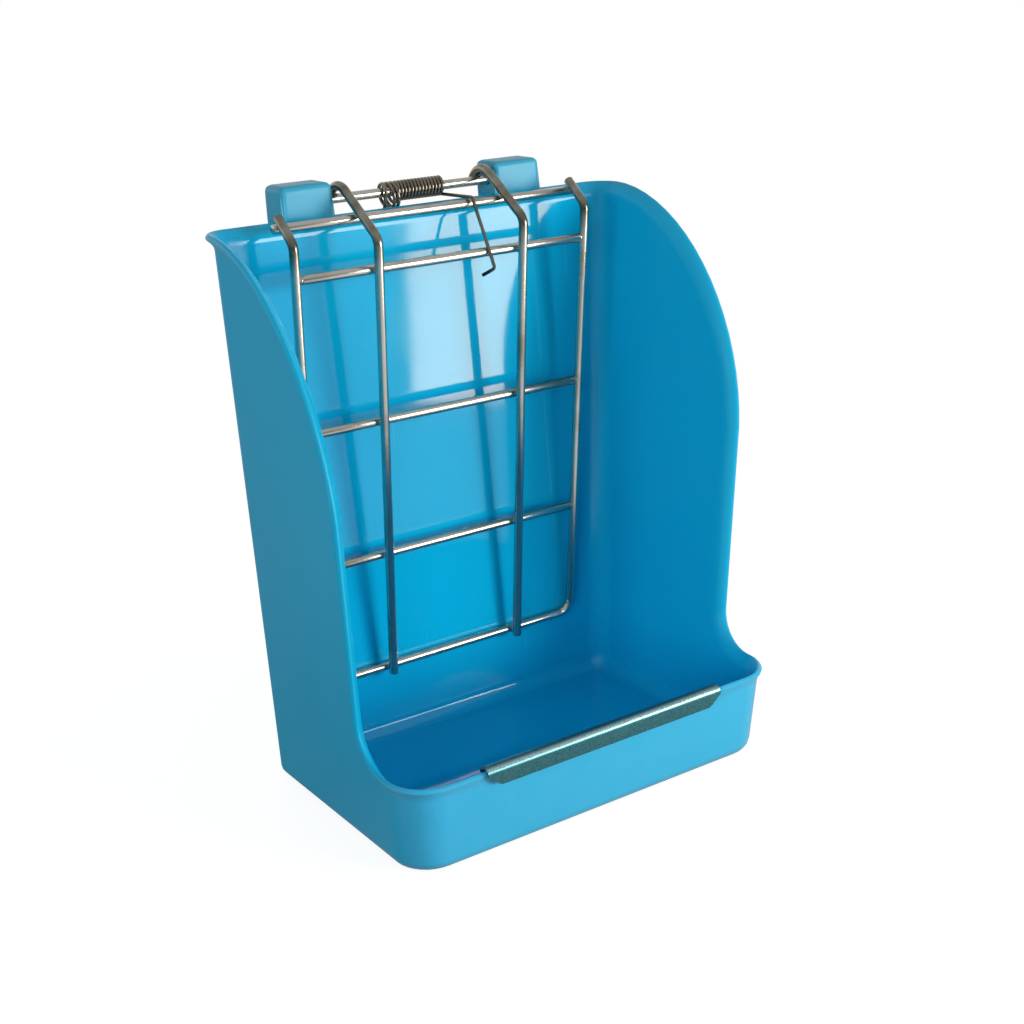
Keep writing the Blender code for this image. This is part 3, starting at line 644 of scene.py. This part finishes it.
def bent_path(corners: Sequence[Vector], radii: Iterable[float], steps: int) -> list[Vector]:
    """Round the inner corners of a path.

    Args:
        corners: corner points.
        radii: bend radius of each inner corner.
        steps: segments of each bend.

    Returns:
        Points of the rounded path.
    """
    points = [corners[0]]
    for before, corner, after, radius in zip(corners[:-2], corners[1:-1], corners[2:], radii):
        to_start = (before - corner).normalized()
        to_end = (after - corner).normalized()
        half = to_start.angle(to_end) / 2
        centre = corner + (to_start + to_end).normalized() * radius / math.sin(half)
        first = corner + to_start * radius / math.tan(half) - centre
        last = corner + to_end * radius / math.tan(half) - centre
        sweep = first.angle(last)
        for step in range(steps + 1):
            share = step / steps
            arm = first * math.sin((1 - share) * sweep) + last * math.sin(share * sweep)
            points.append(centre + arm / math.sin(sweep))
    points.append(corners[-1])
    return points


@dataclass(frozen=True)
class RoundWire:
    """Tube along a path, with eased ends and UVs in metres along and round it."""

    diameter: float
    sides: int = 24
    end_round: float = 0.0003
    sharp_angle: float = math.radians(50)

    def mesh(self, name: str, path: Sequence[Vector]) -> bpy.types.Mesh:
        """Draw the tube.

        Args:
            name: name of the mesh.
            path: centre line.

        Returns:
            A closed mesh.
        """
        points = self.split_ends(path)
        radii = self.radii(len(points))
        bm = bmesh.new()
        layer = bm.loops.layers.uv.new("along")
        rings = []
        runs = [0.0]
        for before, after in zip(points[:-1], points[1:]):
            runs.append(runs[-1] + (after - before).length)
        for point, radius, (across, up) in zip(points, radii, self.frames(points)):
            ring = []
            for side in range(self.sides):
                angle = 2 * math.pi * side / self.sides
                ring.append(bm.verts.new(point + (across * math.cos(angle) + up * math.sin(angle)) * radius))
            rings.append(ring)
        around = math.pi * self.diameter / self.sides
        for index, (near, far) in enumerate(zip(rings[:-1], rings[1:])):
            for side in range(self.sides):
                following = (side + 1) % self.sides
                face = bm.faces.new((near[side], near[following], far[following], far[side]))
                corners = ((index, side), (index, side + 1), (index + 1, side + 1), (index + 1, side))
                for loop, (row, column) in zip(face.loops, corners):
                    loop[layer].uv = (runs[row], column * around)
        bm.faces.new(list(reversed(rings[0])))
        bm.faces.new(rings[-1])
        bm.normal_update()
        mesh = bpy.data.meshes.new(name)
        bm.to_mesh(mesh)
        bm.free()
        mesh.shade_smooth()
        mesh.set_sharp_from_angle(angle=self.sharp_angle)
        return mesh

    def split_ends(self, path: Sequence[Vector]) -> list[Vector]:
        """Add a point next to each end, where the easing starts.

        Args:
            path: centre line.

        Returns:
            The centre line with the two added points.
        """
        first = path[0].lerp(path[1], self.end_round / (path[1] - path[0]).length)
        last = path[-1].lerp(path[-2], self.end_round / (path[-2] - path[-1]).length)
        return [path[0], first, *path[1:-1], last, path[-1]]

    def radii(self, count: int) -> list[float]:
        """Radius at each point: full along the wire, smaller at the two ends."""
        full = self.diameter / 2
        return [full - self.end_round, *[full] * (count - 2), full - self.end_round]

    def frames(self, points: Sequence[Vector]) -> list[tuple[Vector, Vector]]:
        """Directions across the path, carried along it without twist.

        Args:
            points: centre line.

        Returns:
            Two directions across the path for each point.
        """
        tangents = []
        for index in range(len(points)):
            ahead = points[min(index + 1, len(points) - 1)]
            behind = points[max(index - 1, 0)]
            tangents.append((ahead - behind).normalized())
        across = tangents[0].orthogonal().normalized()
        found = []
        for before, tangent in zip([tangents[0], *tangents[:-1]], tangents):
            across = before.rotation_difference(tangent) @ across
            across = (across - tangent * across.dot(tangent)).normalized()
            found.append((across, tangent.cross(across)))
        return found


@dataclass
class Layout:
    """Places that several pieces share, in the feeder's own frame."""

    base_depth: float = 0.099
    rim_height: float = 0.201
    wall: float = 0.0022
    back_lean: float = 0.0022
    lip_reach: float = 0.0029
    depth_shift: float = -0.0051
    hinge_y: float = 0.0570
    hinge_z: float = 0.2075
    gap: float = 0.0003

    def back_y(self, z: float) -> float:
        """Outer face of the back wall at a height."""
        return self.base_depth / 2 + self.back_lean * z / self.rim_height

    def at(self, x: float, y: float, z: float) -> Vector:
        """Point of the feeder's own frame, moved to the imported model's frame."""
        return Vector((x, y + self.depth_shift, z))


@dataclass
class Grille:
    """Wire grille: outer frame wire, two hooked uprights, a top rod, three cross wires and their welds."""

    layout: Layout
    finish: PlatedWire = PlatedWire()
    wire: float = 0.0034
    bottom_height: float = 0.0312
    cross_rises: tuple[float, float, float] = (0.0466, 0.0987, 0.1541)
    cross_names: tuple[str, str, str] = ("lower", "middle", "upper")
    lean: float = 0.0121
    frame_widths: Span = (0.115, 0.121)
    upright_widths: Span = (0.0573, 0.0604)
    tail: float = 0.0021
    corner_radius: float = 0.006
    arm_bend: float = 0.005
    arm_angle: float = math.radians(34.5)
    frame_arm_angle: float = math.radians(40)
    frame_arm_short: float = 0.0009
    top_rod_y: float = 0.0435
    top_rod_z: float = 0.2017
    top_rod_overhang: float = 0.0018
    hook_bend: float = 0.0078
    hook_end: float = math.radians(10)
    patina_and_shade_band: Span = (0.186, 0.194)
    weld_width: float = 0.40
    weld_spread: float = 0.05
    weld_phase: float = 7.0
    weld_height: float = 0.27
    weld_segments: int = 16
    weld_rings: int = 10
    bend_steps: int = 12
    pieces: list[bpy.types.Object] = field(default_factory=list)

    @property
    def crossing(self) -> float:
        """Distance between the centre lines of two wires that cross."""
        return self.wire + self.layout.gap

    def plane_y(self, z: float, forward: float = 0.0) -> float:
        """Depth of the grille's plane at a height, or of a plane in front of it."""
        rest = self.layout.back_y(self.bottom_height) - self.layout.wall - self.wire / 2 - self.layout.gap
        return rest - self.lean * (z - self.bottom_height) / self.cross_rises[2] - forward

    def taper(self, widths: Span, z: float) -> float:
        """Width at a height, from the widths at the bottom wire and the upper cross wire."""
        return widths[0] + (widths[1] - widths[0]) * (z - self.bottom_height) / self.cross_rises[2]

    def arm_z(self, y: float, angle: float) -> float:
        """Height of a bent arm's centre line, which passes over the top rod."""
        return self.top_rod_z + self.crossing / math.cos(angle) + (y - self.top_rod_y) * math.tan(angle)

    def arm_corner(self, forward: float, angle: float) -> Span:
        """Where an upright turns into its arm.

        Args:
            forward: distance of the upright in front of the grille's plane.
            angle: slope of the arm, in radians.

        Returns:
            Depth and height of the corner.
        """
        slope = self.lean / self.cross_rises[2] * math.tan(angle)
        start = self.plane_y(self.bottom_height, forward)
        z = (self.arm_z(start, angle) + slope * self.bottom_height) / (1 + slope)
        return self.plane_y(z, forward), z

    def frame_path(self) -> list[Vector]:
        """Centre line of the outer wire.

        Returns:
            Points along arm, side, bottom, side and arm.
        """
        place = self.layout.at
        corner_y, corner_z = self.arm_corner(0.0, self.frame_arm_angle)
        top_x = self.taper(self.frame_widths, corner_z) / 2
        end_y = self.top_rod_y - self.frame_arm_short
        right = [
            place(self.frame_widths[0] / 2, self.plane_y(self.bottom_height), self.bottom_height),
            place(top_x, corner_y, corner_z),
            place(top_x, end_y, self.arm_z(end_y, self.frame_arm_angle)),
        ]
        left = [Vector((-point.x, point.y, point.z)) for point in reversed(right)]
        radii = (self.arm_bend, self.corner_radius, self.corner_radius, self.arm_bend)
        return bent_path(left + right, radii, self.bend_steps)

    def hook_arc(self) -> list[Span]:
        """Arc of a hook over the hinge rod.

        Returns:
            Depths and heights from the arm to the hook's end.
        """
        along = Vector((math.cos(self.arm_angle), math.sin(self.arm_angle)))
        normal = Vector((-along.y, along.x))
        hinge = Vector((self.layout.hinge_y, self.layout.hinge_z))
        arm = Vector((self.top_rod_y, self.arm_z(self.top_rod_y, self.arm_angle)))
        offset = (arm - hinge).dot(normal) - self.hook_bend
        reach = self.hook_bend - self.crossing
        centre = hinge + normal * offset - along * math.sqrt(reach ** 2 - offset ** 2)
        first = self.arm_angle + math.pi / 2
        steps = 3 * self.bend_steps
        angles = [first + (self.hook_end - first) * step / steps for step in range(steps + 1)]
        return [tuple(centre + self.hook_bend * Vector((math.cos(turn), math.sin(turn)))) for turn in angles]

    def upright_path(self, side: Side) -> list[Vector]:
        """Centre line of an inner upright.

        Args:
            side: which of the two uprights.

        Returns:
            Points along tail, upright, arm and hook.
        """
        place = self.layout.at
        corner_y, corner_z = self.arm_corner(self.crossing, self.arm_angle)
        tail_z = self.bottom_height - self.tail
        tail_x = side.value * self.taper(self.upright_widths, tail_z) / 2
        top_x = side.value * self.taper(self.upright_widths, corner_z) / 2
        hook = [place(top_x, y, z) for y, z in self.hook_arc()]
        tail = place(tail_x, self.plane_y(tail_z, self.crossing), tail_z)
        corner = place(top_x, corner_y, corner_z)
        return bent_path([tail, corner, hook[0]], (self.arm_bend,), self.bend_steps) + hook[1:]

    def straight_path(self, half: float, y: float, z: float) -> list[Vector]:
        """Centre line of a straight wire across the grille."""
        return [self.layout.at(share * half, y, z) for share in (-1.0, -0.5, 0.0, 0.5, 1.0)]

    def weld_spots(self) -> list[tuple[Vector, Vector]]:
        """Welds between the wires.

        Returns:
            Middle of each weld, with the direction from one wire to the other.
        """
        place = self.layout.at
        spots = []
        forward = self.crossing / 2
        for z in (self.bottom_height, *[self.bottom_height + rise for rise in self.cross_rises]):
            for side in Side:
                x = side.value * self.taper(self.upright_widths, z) / 2
                spots.append((place(x, self.plane_y(z, forward), z), Vector((0, 1, 0))))
        for rise in self.cross_rises:
            z = self.bottom_height + rise
            for side in Side:
                x = side.value * (self.taper(self.frame_widths, z) / 2 - self.wire / 2 - self.layout.gap / 2)
                spots.append((place(x, self.plane_y(z), z), Vector((1, 0, 0))))
        return spots + self.rod_welds()

    def rod_welds(self) -> list[tuple[Vector, Vector]]:
        """Welds between the top rod and the arms that rest on it.

        Returns:
            Middle of each weld, with the direction from one wire to the other.
        """
        spots = []
        _, corner_z = self.arm_corner(self.crossing, self.arm_angle)
        _, frame_z = self.arm_corner(0.0, self.frame_arm_angle)
        arms = ((self.taper(self.upright_widths, corner_z), self.arm_angle),
                (self.taper(self.frame_widths, frame_z), self.frame_arm_angle))
        for width, angle in arms:
            across = Vector((0, -math.sin(angle), math.cos(angle)))
            for side in Side:
                rod = self.layout.at(side.value * width / 2, self.top_rod_y, self.top_rod_z)
                spots.append((rod + across * self.crossing / 2, across))
        return spots

    def weld_mesh(self, name: str) -> bpy.types.Mesh:
        """Small squeezed beads of metal where wires were welded.

        Args:
            name: name of the mesh.

        Returns:
            A mesh with one closed bead for each weld.
        """
        bm = bmesh.new()
        for index, (middle, across) in enumerate(self.weld_spots()):
            turn = Vector((0, 0, 1)).rotation_difference(across).to_matrix().to_4x4()
            wide = self.wire * (self.weld_width + self.weld_spread * math.sin(self.weld_phase * index))
            squeeze = Matrix.Diagonal((wide, wide, self.wire * self.weld_height, 1.0))
            bmesh.ops.create_uvsphere(bm, u_segments=self.weld_segments, v_segments=self.weld_rings,
                                      radius=1.0, matrix=Matrix.Translation(middle) @ turn @ squeeze)
        mesh = bpy.data.meshes.new(name)
        bm.to_mesh(mesh)
        bm.free()
        mesh.shade_smooth()
        return mesh

    def build(self) -> None:
        """Draw every wire and the welds."""
        drawn = RoundWire(self.wire)
        paths = {"grille_frame_wire": self.frame_path()}
        for side in Side:
            paths[f"grille_wire_{side.name.lower()}"] = self.upright_path(side)
        half = self.taper(self.frame_widths, self.top_rod_z) / 2 + self.top_rod_overhang
        paths["grille_top_rod"] = self.straight_path(half, self.top_rod_y, self.top_rod_z)
        for name, rise in zip(self.cross_names, self.cross_rises):
            z = self.bottom_height + rise
            half = self.taper(self.frame_widths, z) / 2 - self.wire / 2 - self.layout.gap
            paths[f"grille_cross_{name}"] = self.straight_path(half, self.plane_y(z), z)
        for node, path in paths.items():
            piece = add_piece(f"{node}_round", drawn.mesh(node, path), Body.GRILLE)
            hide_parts(node)
            self.pieces.append(piece)
        self.pieces.append(add_piece("grille_welds", self.weld_mesh("grille_welds"), Body.GRILLE))

    def dress(self) -> None:
        """Give the wires their finish, with a patina and painted shade on the bends and hooks of the bent
        ones.
        """
        straight = self.finish.material("plated wire")
        bent = replace(self.finish, patina_and_shade_band=self.patina_and_shade_band).material("bent plated wire")
        for piece in self.pieces:
            is_bent = piece.name.startswith(("grille_frame_wire", "grille_wire"))
            piece.data.materials.append(bent if is_bent else straight)


@dataclass
class Spring:
    """Torsion spring on the hinge rod: front leg, coil with three loose turns, and rear leg."""

    layout: Layout
    grille: Grille
    finish: PlatedWire = PlatedWire(colour=(0.25, 0.225, 0.18), tarnish=(0.11, 0.095, 0.07),
                                    roughness=(0.20, 0.34), tip=(0.012, 0.022, 0.04), tip_length=0.0052)
    wire: float = 0.001
    drawn_wire: float = 0.00125
    radius: float = 0.0031
    pitch: float = 0.00142
    right: float = 0.0132
    tight_turns: float = 13.75
    loose_turns: float = 3.05
    loose_pitch: float = 0.0018
    growth: float = 0.0014
    tilt: float = 0.0015
    blend_turns: float = 0.75
    leg_x: float = 0.0165
    leg_tail: float = 0.0053
    foot: float = 0.0055
    foot_drop: float = 0.0018
    leg_bend: float = 0.0013
    rear_leg: float = 0.0035
    rear_rise: float = 0.0014
    turn_points: int = 28
    leg_steps: int = 8
    sides: int = 14
    end_round: float = 0.0001
    twist_from: float = -0.0085
    twist_to: float = 0.0100
    piece: bpy.types.Object | None = None

    def coil(self) -> list[Vector]:
        """Centre line of the coil.

        Returns:
            Points from its right end, relative to the hinge axis.
        """
        turns = self.tight_turns + self.loose_turns
        count = round(turns * self.turn_points)
        points = []
        for step in range(count + 1):
            turn = turns * step / count
            loose = max(0.0, turn - self.tight_turns)
            grown = min(1.0, loose / self.blend_turns, (turns - turn) / self.blend_turns)
            radius = self.radius + self.growth * grown
            angle = 2 * math.pi * turn - math.pi / 2
            x = self.right - self.pitch * (turn - loose) - self.loose_pitch * loose
            x += self.tilt * grown ** 2 * (1 - math.sin(angle)) / 2
            z = radius * math.sin(angle) - self.growth * grown
            points.append(Vector((x, radius * math.cos(angle), z)))
        return points

    def front_leg(self, start: Vector) -> list[Vector]:
        """Leg over the top rod and down the front of the upper cross wire.

        Args:
            start: right end of the coil.

        Returns:
            Points from the coil to the leg's bent foot.
        """
        grille = self.grille
        touch = (grille.wire + self.wire) / 2 + self.layout.gap
        cross_z = grille.bottom_height + grille.cross_rises[2]
        over = self.from_hinge(self.leg_x, grille.top_rod_y - touch, grille.top_rod_z + touch)
        press = self.from_hinge(self.leg_x, grille.plane_y(cross_z) - touch, cross_z)
        knee = press + (press - over) * self.leg_tail / abs(press.z - over.z)
        foot = knee - Vector((self.foot, 0, self.foot_drop))
        return bent_path([start, over, knee, foot], (self.leg_bend, self.leg_bend), self.leg_steps)

    def rear_leg_path(self, start: Vector) -> list[Vector]:
        """Leg behind the back wall.

        Args:
            start: left end of the coil.

        Returns:
            Points from the coil down the edge of the lip that the leg leans on.
        """
        rim = self.layout.rim_height
        y = self.layout.back_y(rim) + self.layout.lip_reach + self.wire / 2 + self.layout.gap
        turn = self.from_hinge(start.x, y, rim + self.rear_rise)
        end = self.from_hinge(start.x, y, rim - self.rear_leg)
        return bent_path([start, turn, end], (self.leg_bend,), self.leg_steps)

    def from_hinge(self, x: float, y: float, z: float) -> Vector:
        """Point relative to the hinge axis."""
        return Vector((x, y - self.layout.hinge_y, z - self.layout.hinge_z))

    def build(self) -> None:
        """Draw the spring as one wire between the feeder and the grille, attached to neither body."""
        coil = self.coil()
        path = list(reversed(self.front_leg(coil[0])))[:-1] + coil + self.rear_leg_path(coil[-1])[1:]
        hinge = self.layout.at(0.0, self.layout.hinge_y, self.layout.hinge_z)
        drawn = RoundWire(self.drawn_wire, self.sides, self.end_round)
        mesh = drawn.mesh("torsion_spring", [hinge + point for point in path])
        self.piece = add_object("torsion_spring_round", mesh)
        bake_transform(self.piece)
        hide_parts("torsion_spring")

    def dress(self) -> None:
        """Give the spring its finish."""
        self.piece.data.materials.append(self.finish.material("spring wire"))


@dataclass
class Tub:
    """Moulded tub with the hinge rod and the chew guard on it."""

    nodes: dict[str, bpy.types.Object]
    plastic: GlossPlastic = GlossPlastic()
    guard: GuardSheet = GuardSheet()
    rod: PlatedWire = PlatedWire()
    smooth_angle: float = math.radians(38)
    pieces: list[bpy.types.Object] = field(default_factory=list)

    def dress(self) -> None:
        """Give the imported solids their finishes."""
        group = smooth_group("joined faces", self.smooth_angle)
        finishes = {
            "tub": self.plastic.material("blue plastic"),
            "chew_guard": self.guard.material("guard sheet"),
            "hinge_rod": self.rod.material("hinge rod"),
        }
        for name, material in finishes.items():
            dress_node(self.nodes[name], material, group)
            self.pieces.append(self.nodes[name])


@dataclass(frozen=True)
class SoftBox:
    """Rectangular lamp, seen only by its light and, where it is mirrored, in glossy surfaces."""

    name: str
    position: Point
    width: float
    height: float
    power: float
    target: Point = (0.0, 0.0, 0.1)
    mirrored: bool = True
    colour: Rgb = WHITE

    def build(self) -> None:
        """Add the lamp, aimed at its target."""
        data = bpy.data.lights.new(self.name, "AREA")
        data.shape = "RECTANGLE"
        data.size = self.width
        data.size_y = self.height
        data.energy = self.power
        data.color = self.colour
        lamp = add_object(self.name, data)
        lamp.location = self.position
        lamp.visible_camera = False
        lamp.visible_glossy = self.mirrored
        aim = Vector(self.target) - Vector(self.position)
        lamp.rotation_euler = aim.to_track_quat("-Z", "Y").to_euler()


@dataclass
class Studio:
    """White floor, soft lights and the camera."""

    layout: Layout
    floor: PaleFloor = PaleFloor()
    lamps: tuple[SoftBox, ...] = (
        SoftBox("key", (0.92, -1.36, 0.33), 0.9, 0.62, 18.8),
        SoftBox("fill", (-1.35, -0.85, 0.42), 0.9, 0.7, 9.5, mirrored=False),
        SoftBox("behind", (0.45, 1.55, 0.32), 0.9, 0.6, 12.0, mirrored=False),
        SoftBox("window", (0.290, -0.365, 0.079), 0.098, 0.142, 0.49, (0.0, 0.04, 0.165),
                colour=(1.0, 0.85, 0.62)),
    )
    azimuth: float = -0.59245
    elevation: float = 0.32732
    roll: float = -0.04209
    position: Point = (-0.301906, -0.449145, 0.282107)
    focal_share: float = 1602.88 / 1024
    sensor: float = 36.0
    near_limit: float = 0.01
    ambient: float = 0.23
    room: Span = (0.18, 0.60)
    room_rise: Span = (0.1, 0.7)
    backdrop_depth: Span = (-0.2, 0.4)
    backdrop_rise: Span = (0.35, 0.75)
    floor_size: float = 8.0
    floor_cells: int = 8
    floor_drop: float = 0.0002

    def build(self) -> None:
        """Set up everything that isn't part of the feeder."""
        self.set_view()
        self.add_floor()
        self.add_world()
        for lamp in self.lamps:
            lamp.build()
        self.add_camera()

    def set_view(self) -> None:
        """Show colours as they are written."""
        bpy.context.scene.view_settings.view_transform = "Standard"

    def add_floor(self) -> None:
        """White sheet under the feeder."""
        bm = bmesh.new()
        cells = self.floor_cells
        bmesh.ops.create_grid(bm, x_segments=cells, y_segments=cells, size=self.floor_size / 2)
        mesh = bpy.data.meshes.new("floor")
        bm.to_mesh(mesh)
        bm.free()
        mesh.materials.append(self.floor.material("pale floor"))
        sheet = add_object("floor", mesh)
        sheet.location.z = -self.floor_drop

    def add_world(self) -> None:
        """White backdrop for the camera, plain soft light, and a dim room with a white back for mirrors."""
        world = bpy.data.worlds.new("studio")
        bpy.context.scene.world = world
        graph = Graph(world)
        direction = graph.add("ShaderNodeTexCoord").outputs["Generated"]
        axes = graph.add("ShaderNodeSeparateXYZ", {"Vector": direction}).outputs
        behind = graph.band(axes["Y"], self.backdrop_depth, RISE)
        below = graph.band(axes["Z"], self.backdrop_rise, FALL)
        ceiling = graph.band(axes["Z"], self.room_rise, self.room)
        mirrored = graph.math("MAXIMUM", graph.math("MULTIPLY", behind, below), ceiling)
        rays = graph.add("ShaderNodeLightPath").outputs
        glossy = graph.math("MULTIPLY", rays["Is Glossy Ray"], mirrored)
        seen = graph.math("MAXIMUM", rays["Is Camera Ray"], rays["Is Transmission Ray"])
        strength = graph.math("MAXIMUM", graph.math("MAXIMUM", seen, glossy), self.ambient)
        light = graph.add("ShaderNodeBackground", {"Color": WHITE, "Strength": strength})
        graph.surface(light.outputs["Background"], "ShaderNodeOutputWorld")

    def add_camera(self) -> None:
        """Camera at the photograph's angle."""
        level = math.cos(self.elevation)
        across = math.sin(self.azimuth) * level
        back = Vector((across, -math.cos(self.azimuth) * level, math.sin(self.elevation)))
        right = (-back).cross(Vector((0, 0, 1))).normalized()
        up = right.cross(-back)
        turned_right = right * math.cos(self.roll) + up * math.sin(self.roll)
        turned_up = up * math.cos(self.roll) - right * math.sin(self.roll)
        data = bpy.data.cameras.new("camera")
        data.sensor_width = self.sensor
        data.lens = self.sensor * self.focal_share
        data.clip_start = self.near_limit
        camera = add_object("camera", data)
        axes = Matrix((turned_right, turned_up, back)).transposed().to_4x4()
        camera.matrix_world = Matrix.Translation(self.layout.at(*self.position)) @ axes
        bpy.context.scene.camera = camera


def add_object(name: str, data: bpy.types.ID) -> bpy.types.Object:
    """Add an object to the scene.

    Args:
        name: name of the object.
        data: its mesh, lamp or camera.

    Returns:
        The object.
    """
    item = bpy.data.objects.new(name, data)
    bpy.context.scene.collection.objects.link(item)
    return item


def add_piece(name: str, mesh: bpy.types.Mesh, body: Body) -> bpy.types.Object:
    """Add a piece of the feeder that moves with a body.

    Args:
        name: name of the piece.
        mesh: its mesh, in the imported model's frame.
        body: body that it rides on.

    Returns:
        The piece.
    """
    piece = add_object(name, mesh)
    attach(piece, body.value)
    return piece


def clear_scene() -> None:
    """Start from an empty scene."""
    for item in list(bpy.data.objects):
        bpy.data.objects.remove(item, do_unlink=True)


def main() -> None:
    """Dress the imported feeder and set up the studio."""
    logging.basicConfig(level=logging.INFO, format="%(name)s: %(message)s")
    clear_scene()
    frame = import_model()
    layout = Layout()
    Studio(layout).build()
    LOG.info("studio is up")
    tub = Tub(frame["nodes"])
    tub.dress()
    grille = Grille(layout)
    grille.build()
    grille.dress()
    spring = Spring(layout, grille)
    spring.build()
    spring.dress()
    for piece in (*tub.pieces, *grille.pieces, spring.piece):
        LOG.info("%s: %d faces", piece.name, len(piece.data.polygons))


if __name__ == "__main__":
    main()
